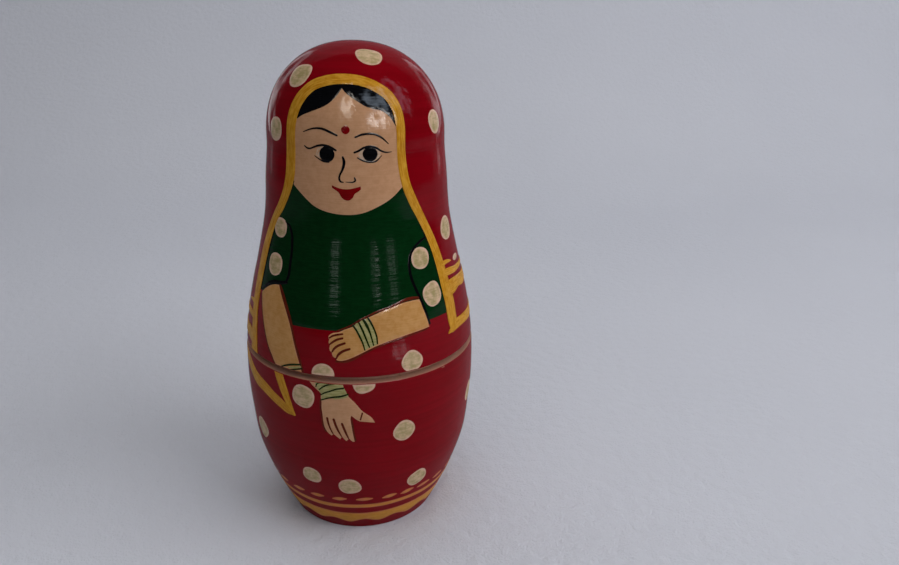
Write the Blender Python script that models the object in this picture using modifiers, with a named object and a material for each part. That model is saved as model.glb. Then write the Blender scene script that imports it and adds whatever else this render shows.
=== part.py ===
"""A nesting doll of turned and painted wood, standing upright with its face towards -Y.

Four hollow dolls stand one inside another, around a small solid one. Each hollow doll is two turned
shells. The lower half ends in a shoulder with a thin spigot above it, and the upper half has a socket
that slides over the spigot. The spigot's top meets the socket's end, which leaves the two outer rims
a little apart. All lengths are in metres, +Z is up, and the origin is the middle of the outer doll's foot.
"""

import math

import bpy

# Driving dimensions. Every other length follows from these.
DOLL_NAMES = ("outer_doll", "second_doll", "third_doll", "fourth_doll", "innermost_doll")
DOLL_HEIGHTS = (0.160, 0.121, 0.090, 0.065, 0.045)
PATTERN_HEIGHT = 0.160

# The side of a doll of PATTERN_HEIGHT as (height, radius), from its foot to where its dome starts.
SIDE = (
    (0.000, 0.0266),
    (0.014, 0.0327),
    (0.028, 0.0371),
    (0.040, 0.0385),
    (0.052, 0.0392),
    (0.066, 0.0386),
    (0.080, 0.0364),
    (0.094, 0.0330),
    (0.108, 0.0300),
    (0.120, 0.0289),
    (0.132, 0.0279),
)
DOME_POWER = 2.15
FOOT_CHAMFER = 0.0006

# The joint between the halves, on a doll of PATTERN_HEIGHT.
SHOULDER_HEIGHT = 0.0633
RIM_GAP = 0.0020

# Thicknesses on a doll of PATTERN_HEIGHT. A smaller doll's walls are thinner, but not in proportion.
WALL = 0.0042
RIM_WIDTH = 0.0024
SPIGOT_WALL = 0.0022
SPIGOT_HEIGHT = 0.0100
FLOOR = 0.0080
CROWN = 0.0090
SPIGOT_CHAMFER = 0.0004
THINNING_POWER = 0.6

CLEARANCE = 0.0003

# Steps round each doll and along its side and dome, from the outer doll to the innermost.
TURN_STEPS = (40, 36, 32, 28, 24)
SIDE_STEPS = (13, 11, 9, 8, 8)
DOME_STEPS = (6, 5, 5, 4, 4)
INNER_STEP_SHARE = 0.7

RED_LACQUER = (0.20, 0.004, 0.008, 1.0)
LACQUER_ROUGHNESS = 0.18


def side_radius(height):
    """Radius of the pattern doll's side, by a cubic curve through the SIDE points."""
    last = len(SIDE) - 1
    index = min(max(i for i, point in enumerate(SIDE) if point[0] <= height), last - 1)
    (low, low_radius), (high, high_radius) = SIDE[index], SIDE[index + 1]
    span = high - low
    t = (height - low) / span
    rise = t * t * (3 - 2 * t)
    start_bend = t * (1 - t) ** 2 * span * side_slope(index)
    end_bend = -t * t * (1 - t) * span * side_slope(index + 1)
    return low_radius + (high_radius - low_radius) * rise + start_bend + end_bend


def side_slope(index):
    """Slope of the side at one of the SIDE points: level at the dome, one-sided at the foot."""
    if index == len(SIDE) - 1:
        return 0.0
    before, after = SIDE[max(index - 1, 0)], SIDE[index + 1]
    return (after[1] - before[1]) / (after[0] - before[0])


def spread(low, high, steps):
    """Evenly spaced values from low to high, both included."""
    return [low + (high - low) * i / steps for i in range(steps + 1)]


def dome_points(base_height, top_height, radius, steps):
    """(radius, height) from just above the dome's base up to its top, on the axis."""
    rise = top_height - base_height
    points = []
    for i in range(1, steps + 1):
        angle = math.pi / 2 * i / steps
        across = 0.0 if i == steps else radius * math.cos(angle) ** (2 / DOME_POWER)
        points.append((across, base_height + rise * math.sin(angle) ** (2 / DOME_POWER)))
    return points


class Doll:
    """The sizes of one doll, all in metres, with heights measured from its own foot."""

    def __init__(self, index):
        self.height = DOLL_HEIGHTS[index]
        self.scale = self.height / PATTERN_HEIGHT
        thinning = self.scale**THINNING_POWER
        self.wall = WALL * thinning
        self.floor = FLOOR * thinning
        self.crown = CROWN * thinning
        self.dome_start = SIDE[-1][0] * self.scale
        self.shoulder = SHOULDER_HEIGHT * self.scale
        self.upper_rim = self.shoulder + RIM_GAP * self.scale
        self.spigot_top = self.shoulder + SPIGOT_HEIGHT * thinning
        self.socket_end = self.spigot_top + CLEARANCE
        self.socket_radius = self.radius(self.upper_rim) - RIM_WIDTH * thinning
        self.spigot_radius = self.socket_radius - CLEARANCE
        self.mouth_radius = self.spigot_radius - SPIGOT_WALL * thinning
        self.turn_steps = TURN_STEPS[index]
        self.side_steps = SIDE_STEPS[index]
        self.dome_steps = DOME_STEPS[index]

    def radius(self, height):
        return side_radius(height / self.scale) * self.scale

    def side(self, low, high, inset=0.0, share=1.0):
        """(radius, height) along the side from low up to high, moved inwards by inset."""
        steps = max(3, round(self.side_steps * share * (high - low) / self.dome_start * 1.6))
        return [(self.radius(height) - inset, height) for height in spread(low, high, steps)]

    def foot(self):
        """The foot's edge and its middle, on the way down and inwards."""
        radius = self.radius(FOOT_CHAMFER)
        return [(radius, FOOT_CHAMFER), (radius - FOOT_CHAMFER, 0.0), (0.0, 0.0)]

    def upper_profile(self):
        """Down the outside from the crown, across the rim, and up the socket and the hollow."""
        dome = dome_points(self.dome_start, self.height, self.radius(self.dome_start), self.dome_steps)
        outside = self.side(self.upper_rim, self.dome_start) + dome
        hollow_top = self.height - self.crown
        hollow_radius = self.radius(self.dome_start) - self.wall
        inner_steps = max(3, round(self.dome_steps * INNER_STEP_SHARE))
        socket = [(self.socket_radius, self.upper_rim), (self.socket_radius, self.socket_end)]
        hollow = self.side(self.socket_end, self.dome_start, self.wall, INNER_STEP_SHARE)
        inner_dome = dome_points(self.dome_start, hollow_top, hollow_radius, inner_steps)
        return outside[::-1] + socket + hollow + inner_dome

    def lower_profile(self):
        """From the middle of the floor up the hollow, over the spigot, and down the outside."""
        hollow = self.side(self.floor, self.shoulder, self.wall, INNER_STEP_SHARE)
        spigot = [
            (self.mouth_radius, self.shoulder + CLEARANCE),
            (self.mouth_radius, self.spigot_top),
            (self.spigot_radius - SPIGOT_CHAMFER, self.spigot_top),
            (self.spigot_radius, self.spigot_top - SPIGOT_CHAMFER),
            (self.spigot_radius, self.shoulder),
        ]
        outside = self.side(FOOT_CHAMFER, self.shoulder)[1:]
        return [(0.0, self.floor)] + hollow + spigot + outside[::-1] + self.foot()

    def solid_profile(self):
        """Down the outside of a doll that doesn't open."""
        dome = dome_points(self.dome_start, self.height, self.radius(self.dome_start), self.dome_steps)
        outside = self.side(FOOT_CHAMFER, self.dome_start)[1:] + dome
        return outside[::-1] + self.foot()


def make_lacquer(name):
    material = bpy.data.materials.new(name)
    material.use_nodes = True
    shader = material.node_tree.nodes["Principled BSDF"]
    shader.inputs["Base Color"].default_value = RED_LACQUER
    shader.inputs["Roughness"].default_value = LACQUER_ROUGHNESS
    shader.inputs["Metallic"].default_value = 0.0
    return material


def turn(name, profile, steps, base_height, collection):
    """Turns a profile of (radius, height) points about the Z axis into one closed solid."""
    mesh = bpy.data.meshes.new(name)
    points = [(radius, 0.0, height) for radius, height in profile]
    mesh.from_pydata(points, [(i, i + 1) for i in range(len(points) - 1)], [])
    obj = bpy.data.objects.new(name, mesh)
    obj.location.z = base_height
    collection.objects.link(obj)
    screw = obj.modifiers.new("Turn", "SCREW")
    screw.steps = steps
    screw.render_steps = steps
    screw.use_merge_vertices = True
    screw.merge_threshold = 0.00001
    screw.use_smooth_shade = True
    mesh.materials.append(make_lacquer(f"{name}_lacquer"))


def clear_scene():
    for obj in list(bpy.data.objects):
        bpy.data.objects.remove(obj)


def main():
    clear_scene()
    collection = bpy.data.collections.new("nesting_doll")
    bpy.context.scene.collection.children.link(collection)

    base_height = 0.0
    for index, name in enumerate(DOLL_NAMES):
        doll = Doll(index)
        if index == len(DOLL_NAMES) - 1:
            turn(name, doll.solid_profile(), doll.turn_steps, base_height, collection)
            break
        turn(f"{name}_lower_half", doll.lower_profile(), doll.turn_steps, base_height, collection)
        turn(f"{name}_upper_half", doll.upper_profile(), doll.turn_steps, base_height, collection)
        base_height += doll.floor + CLEARANCE


main()
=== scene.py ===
"""A painted nesting doll of turned wood with four smaller dolls inside it, on a sheet of pale paper.

The painting is drawn once, for a pattern doll PATTERN_HEIGHT tall, and laid on every doll at its size.
A place on it is (degrees, height): degrees round from the middle of the front, positive towards the
doll's left hand (+X), and millimetres above the foot. Each colour is a thin raised solid on the wood.
"""

import math
import random
from collections import namedtuple

import bpy
import numpy as np
from mathutils import Matrix, Vector
from mathutils.geometry import delaunay_2d_cdt


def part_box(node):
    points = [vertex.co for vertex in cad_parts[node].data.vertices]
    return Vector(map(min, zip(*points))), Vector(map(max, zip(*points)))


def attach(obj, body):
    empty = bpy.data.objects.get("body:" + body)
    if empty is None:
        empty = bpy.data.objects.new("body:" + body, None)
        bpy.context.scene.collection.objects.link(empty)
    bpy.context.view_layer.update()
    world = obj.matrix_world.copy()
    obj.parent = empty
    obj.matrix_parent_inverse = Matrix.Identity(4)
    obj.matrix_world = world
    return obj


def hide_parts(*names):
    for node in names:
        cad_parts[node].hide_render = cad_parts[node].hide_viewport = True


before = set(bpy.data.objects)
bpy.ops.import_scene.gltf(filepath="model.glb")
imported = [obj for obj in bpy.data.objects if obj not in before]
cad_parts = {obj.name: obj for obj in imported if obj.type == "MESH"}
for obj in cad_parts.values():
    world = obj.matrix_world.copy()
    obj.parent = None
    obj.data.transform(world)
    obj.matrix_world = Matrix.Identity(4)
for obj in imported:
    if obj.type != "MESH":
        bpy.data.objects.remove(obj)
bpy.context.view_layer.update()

MM = 0.001
HALVES = ("lower", "upper")
# Millimetres within which a point counts as being on a line, and lengths too short to divide by.
ON_LINE = 1e-3
TINY = 1e-9

# ---------------------------------------------------------------------------------------------
# The turned shape, as in the CAD: a pattern doll's side, and its walls in real millimetres.

PATTERN_HEIGHT = 160.0
SIDE = (
    (0.0, 26.6),
    (14.0, 32.7),
    (28.0, 37.1),
    (40.0, 38.5),
    (52.0, 39.2),
    (66.0, 38.6),
    (80.0, 36.4),
    (94.0, 33.0),
    (108.0, 30.0),
    (120.0, 28.9),
    (132.0, 27.9),
)
DOME_START, DOME_RADIUS = SIDE[-1]
DOME_POWER = 2.15

SHOULDER_HEIGHT = 63.3
RIM_GAP = 2.0
WALL = 4.2
RIM_WIDTH = 2.4
SPIGOT_WALL = 2.2
SPIGOT_HEIGHT = 10.0
SPIGOT_CHAMFER = 0.4
FLOOR = 8.0
CROWN = 9.0
CLEARANCE = 0.3
THINNING_POWER = 0.6

RIM_ROUNDING = 0.3
FOOT_ROUNDING = 0.8
FOOT_EDGE = 0.48
EDGE_STEPS = 4
# How many of a lower rim's points, from the spigot outwards, are on wood that no paint covers.
BARE_RIM_POINTS = 3

# The underside: how much of the foot it takes up, its grooves, and the lathe's mark in its middle.
UNDERSIDE_SHARE = 0.96
GROOVE_DEPTH = 0.25
GROOVE_WIDTH = 0.5
GROOVE_PLACES = (0.35, 0.62, 0.84)
CENTRE_MARK = [(1.6, 0.0), (0.5, 0.7), (0.0, 0.8)]

# How finely the shape is worked out: samples of the pattern, then steps along each profile.
SIDE_SAMPLES = 900
DOME_SAMPLES = 500
OUTSIDE_STEP = 1.3
UPPER_HOLLOW_STEPS = 24
LOWER_HOLLOW_STEPS = 20
INNER_DOME_STEPS = 14

# The halves of the outer doll are a little out of line: its lower half is turned this far to the right.
OUTER_TWIST = 20.0


def side_radius(height):
    """Radius of the pattern doll's side, by a cubic curve through the SIDE points."""
    last = len(SIDE) - 1
    index = min(max(i for i, point in enumerate(SIDE) if point[0] <= height), last - 1)
    (low, low_radius), (high, high_radius) = SIDE[index], SIDE[index + 1]
    span = high - low
    t = (height - low) / span
    rise = t * t * (3 - 2 * t)
    start_bend = t * (1 - t) ** 2 * span * side_slope(index)
    end_bend = -t * t * (1 - t) * span * side_slope(index + 1)
    return low_radius + (high_radius - low_radius) * rise + start_bend + end_bend


def side_slope(index):
    """Slope of the side at one of the SIDE points: level at the dome, one-sided at the foot."""
    if index == len(SIDE) - 1:
        return 0.0
    before, after = SIDE[max(index - 1, 0)], SIDE[index + 1]
    return (after[1] - before[1]) / (after[0] - before[0])


def dome_curve(base, rise, radius, steps):
    """(radii, heights) of a dome from just above its base to its top, on the axis."""
    angles = np.linspace(0.0, math.pi / 2, steps + 1)[1:]
    radii = radius * np.maximum(np.cos(angles), 0.0) ** (2 / DOME_POWER)
    radii[-1] = 0.0
    return radii, base + rise * np.sin(angles) ** (2 / DOME_POWER)


class Pattern:
    """The pattern doll's outside, by the distance s along it from the foot's edge up to the crown."""

    def __init__(self):
        side_z = np.linspace(0.0, DOME_START, SIDE_SAMPLES)
        side_r = np.array([side_radius(z) for z in side_z])
        dome_r, dome_z = dome_curve(DOME_START, PATTERN_HEIGHT - DOME_START, DOME_RADIUS, DOME_SAMPLES)
        self.r = np.concatenate([side_r, dome_r])
        self.z = np.concatenate([side_z, dome_z])
        steps = np.hypot(np.diff(self.r), np.diff(self.z))
        self.s = np.concatenate([[0.0], np.cumsum(steps)])
        slope_r = np.gradient(self.r, self.s)
        slope_z = np.gradient(self.z, self.s)
        length = np.hypot(slope_r, slope_z)
        self.out_r = slope_z / length
        self.out_z = -slope_r / length

    def at(self, s):
        """(radius, height, outward normal's radial part, its upward part) at distances s."""
        return [np.interp(s, self.s, column) for column in (self.r, self.z, self.out_r, self.out_z)]

    def along(self, z):
        return np.interp(z, self.z, self.s)

    def degree(self, s):
        """Length in millimetres of one degree round the doll at distance s."""
        return np.maximum(np.interp(s, self.s, self.r), 1.0) * math.pi / 180


pattern = Pattern()


class Doll:
    """One doll's sizes in millimetres, with heights from its own foot, and where it stands.

    segments is the number of steps round it. facing is the way its face is turned, in degrees, and
    twist turns its lower half further. A doll that doesn't open has one body and one node.
    """

    def __init__(self, name, opens, segments, facing, twist=0.0):
        self.name = f"{name}_doll"
        self.opens = opens
        self.bodies = {half: f"{name}_{half}" if opens else name for half in HALVES}
        self.nodes = {half: f"{self.name}_{half}_half" if opens else self.name for half in HALVES}
        self.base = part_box(self.nodes["lower"])[0][2]
        self.scale = (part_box(self.nodes["upper"])[1][2] - self.base) / (PATTERN_HEIGHT * MM)
        self.segments = segments
        self.turns = {"lower": facing + twist, "upper": facing}
        self.height = PATTERN_HEIGHT * self.scale
        thinning = self.scale**THINNING_POWER
        self.shoulder = SHOULDER_HEIGHT * self.scale
        self.upper_rim = self.shoulder + RIM_GAP * self.scale
        self.spigot_top = self.shoulder + SPIGOT_HEIGHT * thinning
        self.socket_end = self.spigot_top + CLEARANCE
        self.socket_radius = self.radius(self.upper_rim) - RIM_WIDTH * thinning
        self.spigot_radius = self.socket_radius - CLEARANCE
        self.mouth_radius = self.spigot_radius - SPIGOT_WALL * thinning
        self.wall = WALL * thinning
        self.floor = FLOOR * thinning
        self.hollow_top = self.height - CROWN * thinning
        self.dome_start = DOME_START * self.scale

    def radius(self, height):
        return float(np.interp(height / self.scale, pattern.z, pattern.r)) * self.scale

    def outside(self, low, high):
        """(radius, height) down the outside between two heights."""
        start, end = pattern.along(low / self.scale), pattern.along(high / self.scale)
        count = max(4, round((end - start) / OUTSIDE_STEP))
        radii, heights, _, _ = pattern.at(np.linspace(start, end, count + 1))
        return list(zip(radii * self.scale, heights * self.scale))[::-1]

    def hollow(self, low, high, steps):
        """(radius, height) up the inside of a wall between two heights."""
        return [(self.radius(z) - self.wall, z) for z in np.linspace(low, high, steps + 1)]

    def lifts(self, layer):
        """Millimetres above the wood at the edge of a layer's paint and within it."""
        return [height * self.scale**PAINT_THINNING_POWER for height in LAYERS[layer]]

    def place(self, half, degrees, s, lift):
        """Points in the row frame, in metres, at (degrees, s) on one half and lifted off the wood."""
        radii, heights, out_r, out_z = pattern.at(s)
        angles = np.radians(np.asarray(degrees) + self.turns[half])
        radii = (radii * self.scale + lift * out_r) * MM
        heights = (heights * self.scale + lift * out_z) * MM + self.base
        return np.stack([radii * np.sin(angles), -radii * np.cos(angles), heights], axis=-1)


# ---------------------------------------------------------------------------------------------
# Materials. Every paint lies under the same glossy varnish, which keeps the lathe's fine rings.

VARNISH = {"Coat Weight": 0.28, "Coat Roughness": 0.07, "Coat IOR": 1.4, "Specular IOR Level": 0.0}
PORE = (0.12, 0.08, 0.05)


def is_socket(value):
    return isinstance(value, bpy.types.NodeSocket)


class Graph:
    """The nodes of a material, a light or a world, added one call at a time."""

    def __init__(self, owner, shader="Principled BSDF"):
        owner.use_nodes = True
        self.owner = owner
        self.tree = owner.node_tree
        self.shader = self.tree.nodes[shader]

    def plug(self, node, inputs):
        """Sets a node's inputs, each to a value or to another node's socket."""
        for key, value in inputs.items():
            if is_socket(value):
                self.tree.links.new(value, node.inputs[key])
            else:
                node.inputs[key].default_value = value

    def add(self, kind, inputs, outlet=0, **settings):
        node = self.tree.nodes.new("ShaderNode" + kind)
        for key, value in settings.items():
            setattr(node, key, value)
        self.plug(node, inputs)
        return node.outputs[outlet]

    def math(self, operation, *values):
        return self.add("Math", dict(enumerate(values)), operation=operation)

    def blend(self, first, second, share):
        """The sum of two values, of which the first makes up a given share."""
        parts = [self.math("MULTIPLY", first, share), self.math("MULTIPLY", second, 1 - share)]
        return self.math("ADD", *parts)

    def noise(self, vector, scale, detail=3.0, roughness=0.55):
        inputs = {"Vector": vector, "Scale": scale, "Detail": detail, "Roughness": roughness}
        return self.add("TexNoise", inputs)

    def noise_along(self, value, scale):
        """Noise that changes with one value only."""
        return self.add("TexNoise", {"W": value, "Scale": scale, "Detail": 3.0}, noise_dimensions="1D")

    def spread(self, value, low, high, to_low=0.0, to_high=1.0):
        inputs = {0: value, 1: low, 2: high, 3: to_low, 4: to_high}
        return self.add("MapRange", inputs, clamp=True, interpolation_type="SMOOTHSTEP")

    def mix(self, factor, first, second):
        """A mix of two colours, each a socket or (red, green, blue)."""
        first, second = (colour if is_socket(colour) else (*colour, 1.0) for colour in (first, second))
        return self.add("Mix", {0: factor, 6: first, 7: second}, outlet=2, data_type="RGBA")

    def stretch(self, vector, x, y, z):
        return self.add("Mapping", {"Vector": vector, "Scale": (x, y, z)})

    def bump(self, height, strength, distance, under=None):
        """A bumpy surface's normal, on top of another normal if there is one under it."""
        inputs = {"Height": height, "Strength": strength, "Distance": distance}
        if under:
            inputs["Normal"] = under
        return self.add("Bump", inputs)

    def coordinates(self):
        """(object coordinates in metres, height in metres)."""
        place = self.add("TexCoord", {}, outlet="Object")
        return place, self.add("SeparateXYZ", {0: place}, outlet="Z")

    def varnish(self, place, height):
        """The varnish's shader inputs, with the rings that the lathe left and its own slow ripple."""
        ringed = self.bump(self.noise_along(height, 900.0), strength=0.35, distance=0.00006)
        ripple = self.noise(place, 160.0, detail=2.0)
        return VARNISH | {"Coat Normal": self.bump(ripple, strength=0.22, distance=0.0003, under=ringed)}

    def finish(self, colour, roughness, normal, more):
        """Sets the shader's colour, roughness, normal and the other inputs that are given."""
        inputs = {"Base Color": colour, "Roughness": roughness, "Normal": normal}
        self.plug(self.shader, inputs | more)
        return self.owner


def painted_ground(name, dark, light):
    """The colour that a whole turned surface is painted while it spins: faint level streaks."""
    graph = Graph(bpy.data.materials.new(name))
    place, height = graph.coordinates()
    streaks = graph.noise(graph.stretch(place, 25.0, 25.0, 900.0), 1.0, detail=4.0)
    clouds = graph.noise(place, 45.0)
    shade = graph.blend(streaks, clouds, share=0.6)
    colour = graph.mix(graph.spread(shade, 0.3, 0.7), dark, light)
    normal = graph.bump(streaks, strength=0.2, distance=0.00004)
    return graph.finish(colour, 0.42, normal, graph.varnish(place, height))


def brushed_paint(name, dark, light, rim=None, rim_width=0.5, streaks=0.7):
    """Paint put on with a brush: streaks along the stroke, thin patches, and a rim where it dried.

    streaks is the brush hairs' share of the unevenness, and the rim's width is in millimetres.
    """
    graph = Graph(bpy.data.materials.new(name))
    place, height = graph.coordinates()
    brush = graph.add("Attribute", {}, outlet="Vector", attribute_name="brush")
    edge = graph.add("SeparateXYZ", {0: brush}, outlet="Z")
    hairs = graph.noise(graph.stretch(brush, 0.22, 2.6, 0.0), 1.0, detail=4.0, roughness=0.6)
    thin = graph.noise(place, 520.0, detail=4.0, roughness=0.6)
    shade = graph.blend(hairs, thin, share=streaks)
    colour = graph.mix(graph.spread(shade, 0.36, 0.64), dark, light)
    if rim:
        near = graph.spread(edge, 0.2 * rim_width, rim_width, 1.0, 0.0)
        uneven = graph.spread(thin, 0.3, 0.6, 0.5, 1.0)
        colour = graph.mix(graph.math("MULTIPLY", near, uneven), colour, rim)
    normal = graph.bump(hairs, strength=0.35, distance=0.00008)
    return graph.finish(colour, 0.4, normal, graph.varnish(place, height))


def bare_wood(name, dark, light):
    """Unpainted turned wood: long grain up the doll, darker pores and the tool's rings."""
    graph = Graph(bpy.data.materials.new(name))
    place, height = graph.coordinates()
    wander = graph.noise(graph.stretch(place, 120.0, 120.0, 14.0), 1.0, detail=4.0)
    grain = graph.noise(graph.stretch(place, 900.0, 900.0, 40.0), 1.0, detail=5.0, roughness=0.65)
    colour = graph.mix(wander, dark, light)
    pores = graph.spread(grain, 0.56, 0.72)
    colour = graph.mix(graph.math("MULTIPLY", pores, 0.6), colour, PORE)
    level = graph.stretch(place, 1.0, 1.0, 0.0)
    radius = graph.add("VectorMath", {0: level}, outlet="Value", operation="LENGTH")
    turned = graph.noise_along(graph.math("ADD", radius, height), 1500.0)
    ringed = graph.bump(turned, strength=0.6, distance=0.00015)
    normal = graph.bump(grain, strength=0.4, distance=0.0001, under=ringed)
    return graph.finish(colour, graph.spread(grain, 0.3, 0.7, 0.62, 0.8), normal, {})


def paper(name):
    """Thick pale paper with a soft tooth and no gloss."""
    graph = Graph(bpy.data.materials.new(name))
    place, _ = graph.coordinates()
    tooth = graph.noise(place, 1100.0, roughness=0.6)
    lumps = graph.noise(place, 210.0, roughness=0.5)
    tint = graph.noise(place, 5.0, detail=2.0)
    colour = graph.mix(tint, (0.56, 0.585, 0.65), (0.60, 0.625, 0.69))
    lumpy = graph.bump(lumps, strength=0.5, distance=0.0013)
    normal = graph.bump(tooth, strength=0.6, distance=0.0006, under=lumpy)
    return graph.finish(colour, 0.9, normal, {"Specular IOR Level": 0.0})


RED = painted_ground("red_lacquer", (0.162, 0.0003, 0.003), (0.212, 0.0005, 0.005))
GREEN = brushed_paint("green_paint", (0.0006, 0.017, 0.003), (0.0012, 0.026, 0.005))
YELLOW = brushed_paint("yellow_paint", (0.42, 0.17, 0.005), (0.61, 0.32, 0.035))
HEM_YELLOW = brushed_paint(
    "hem_paint", (0.50, 0.21, 0.03), (0.62, 0.30, 0.05), rim=(0.50, 0.15, 0.07), rim_width=1.0
)
SKIN = brushed_paint(
    "skin_paint", (0.47, 0.25, 0.13), (0.54, 0.30, 0.165), rim=(0.55, 0.30, 0.17), streaks=0.4
)
ARM_SKIN = brushed_paint(
    "arm_skin_paint", (0.46, 0.225, 0.065), (0.54, 0.29, 0.105), rim=(0.57, 0.28, 0.14), streaks=0.4
)
CREAM = brushed_paint(
    "cream_paint", (0.33, 0.27, 0.12), (0.60, 0.43, 0.28), (0.64, 0.43, 0.32), rim_width=0.9, streaks=0.35
)
BLACK = brushed_paint("black_paint", (0.001, 0.001, 0.0015), (0.003, 0.003, 0.004))
BANGLE = brushed_paint("bangle_paint", (0.26, 0.25, 0.085), (0.40, 0.37, 0.17))
BANGLE_LINE = brushed_paint("bangle_line_paint", (0.004, 0.012, 0.001), (0.012, 0.024, 0.002))
BROWN = brushed_paint("brown_paint", (0.07, 0.008, 0.003), (0.13, 0.016, 0.006))
LIP = brushed_paint("lip_paint", (0.15, 0.001, 0.002), (0.20, 0.002, 0.004))
EYE_WHITE = brushed_paint("eye_white_paint", (0.46, 0.32, 0.22), (0.56, 0.42, 0.31))
WOOD = bare_wood("bare_wood", (0.27, 0.18, 0.11), (0.40, 0.28, 0.18))
STAINED_WOOD = bare_wood("stained_wood", (0.27, 0.11, 0.055), (0.37, 0.165, 0.10))
PAPER = paper("paper")


# ---------------------------------------------------------------------------------------------
# Turned bodies.


def add_mesh(name, verts, faces, materials, sharp_angle=180):
    """A smooth mesh in the scene, whose edges stay sharp where they bend by more than sharp_angle."""
    mesh = bpy.data.meshes.new(name)
    mesh.from_pydata(verts, [], faces)
    for material in materials:
        mesh.materials.append(material)
    mesh.shade_smooth()
    mesh.set_sharp_from_angle(angle=math.radians(sharp_angle))
    obj = bpy.data.objects.new(name, mesh)
    bpy.context.scene.collection.objects.link(obj)
    return obj


def rounded(corner, before, after, radius):
    """An arc that replaces the corner of a profile, as (radius, height) points."""
    corner, before, after = (np.array(point, float) for point in (corner, before, after))
    to_before = (before - corner) / np.linalg.norm(before - corner)
    to_after = (after - corner) / np.linalg.norm(after - corner)
    half_angle = math.acos(float(np.clip(to_before @ to_after, -1, 1))) / 2
    reach = radius / math.tan(half_angle)
    start, end = corner + to_before * reach, corner + to_after * reach
    points = []
    for t in np.linspace(0, 1, EDGE_STEPS + 1):
        pull = (1 - t) ** 2 * start + 2 * t * (1 - t) * corner + t**2 * end
        points.append(tuple(pull))
    return points


def revolve(name, runs, segments, base):
    """A turned mesh from runs of (points, material) that follow each other along its profile."""
    points, kinds, materials = [], [], []
    for run, material in runs:
        if material not in materials:
            materials.append(material)
        kinds += [materials.index(material)] * (len(run) - (0 if points else 1))
        points += run
    angles = np.arange(segments) * 2 * math.pi / segments
    verts, rows = [], []
    for radius, height in points:
        z = height * MM + base
        if radius < TINY:
            rows.append([len(verts)] * segments)
            verts.append((0.0, 0.0, z))
        else:
            rows.append(list(range(len(verts), len(verts) + segments)))
            verts += [(radius * MM * math.sin(a), -radius * MM * math.cos(a), z) for a in angles]
    faces, face_kinds = [], []
    for row, kind in enumerate(kinds):
        for i in range(segments):
            j = (i + 1) % segments
            corners = [rows[row][i], rows[row + 1][i], rows[row + 1][j], rows[row][j]]
            faces.append([v for n, v in enumerate(corners) if v not in corners[:n]])
            face_kinds.append(kind)
    obj = add_mesh(name, verts, faces, materials, sharp_angle=32)
    obj.data.polygons.foreach_set("material_index", face_kinds)
    return obj


def upper_body(doll):
    """Down the outside from the crown, across the rim, and up the socket and the hollow."""
    rim_corner = (doll.radius(doll.upper_rim), doll.upper_rim)
    socket_corner = (doll.socket_radius, doll.upper_rim)
    socket_end = (doll.socket_radius, doll.socket_end)
    outside = doll.outside(doll.upper_rim + RIM_ROUNDING, doll.height)
    rim = rounded(rim_corner, outside[-1], socket_corner, RIM_ROUNDING)
    bevel = rounded(socket_corner, rim_corner, socket_end, RIM_ROUNDING)
    hollow = doll.hollow(doll.socket_end, doll.dome_start, UPPER_HOLLOW_STEPS)
    dome_rise = doll.hollow_top - doll.dome_start
    dome_radius = doll.radius(doll.dome_start) - doll.wall
    dome = dome_curve(doll.dome_start, dome_rise, dome_radius, INNER_DOME_STEPS)
    return [
        ([(0.0, doll.height)] + outside[1:-1] + rim, RED),
        (bevel + [socket_end] + hollow + list(zip(*dome)), WOOD),
    ]


def lower_body(doll):
    """Up the hollow from the floor's middle, over the spigot and its shoulder, and down the outside."""
    shoulder = (doll.radius(doll.shoulder), doll.shoulder)
    spigot_foot = (doll.spigot_radius, doll.shoulder)
    stain_top = (doll.spigot_radius, doll.upper_rim + RIM_ROUNDING)
    top = doll.spigot_top
    inside = [(0.0, doll.floor)] + doll.hollow(doll.floor, doll.shoulder, LOWER_HOLLOW_STEPS)
    spigot = [
        (doll.mouth_radius, doll.shoulder + CLEARANCE),
        (doll.mouth_radius, top - SPIGOT_CHAMFER),
        (doll.mouth_radius + SPIGOT_CHAMFER, top),
        (doll.spigot_radius - SPIGOT_CHAMFER, top),
        (doll.spigot_radius, top - SPIGOT_CHAMFER),
        stain_top,
    ]
    outside = doll.outside(FOOT_ROUNDING, doll.shoulder - RIM_ROUNDING)
    rim = rounded(shoulder, spigot_foot, outside[0], RIM_ROUNDING)
    return [
        (inside + spigot, WOOD),
        ([spigot_foot] + rim[:BARE_RIM_POINTS], STAINED_WOOD),
        *side_and_foot(doll, rim[BARE_RIM_POINTS:] + outside[1:]),
    ]


def solid_body(doll):
    outside = doll.outside(FOOT_ROUNDING, doll.height)
    return side_and_foot(doll, [(0.0, doll.height)] + outside[1:])


def side_and_foot(doll, side):
    """A painted side that ends in the foot's rounded edge, then the bare, grooved underside."""
    foot_radius = doll.radius(0.0)
    edge = rounded((foot_radius, 0.0), side[-1], (0.0, 0.0), FOOT_EDGE)
    underside = []
    for place in reversed(GROOVE_PLACES):
        middle = place * foot_radius * UNDERSIDE_SHARE
        half = GROOVE_WIDTH / 2
        underside += [(middle + half, 0.0), (middle, GROOVE_DEPTH), (middle - half, 0.0)]
    return [(side + edge, RED), (underside + CENTRE_MARK, WOOD)]


# ---------------------------------------------------------------------------------------------
# Outlines of paint. Places are (degrees, height) in the tables and (degrees, s) once drawn.

CURVE_STEP = 0.45
FINEST_CURVE_STEP = 0.25
LONGEST_EDGE = 0.8
DOT_STEP = 0.35
# How far a shape's inner outline is within its outer one: in millimetres, and at most this share of
# a stroke's width or a dot's radius.
EDGE_INSET = 0.14
STROKE_INSET_SHARE = 0.28
DOT_INSET_SHARE = 0.3
THINNEST = 0.12
DOT_UNEVENNESS = 0.035
# Millimetres in a degree, where a rough length is enough.
ROUGH_DEGREE = 0.55

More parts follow.
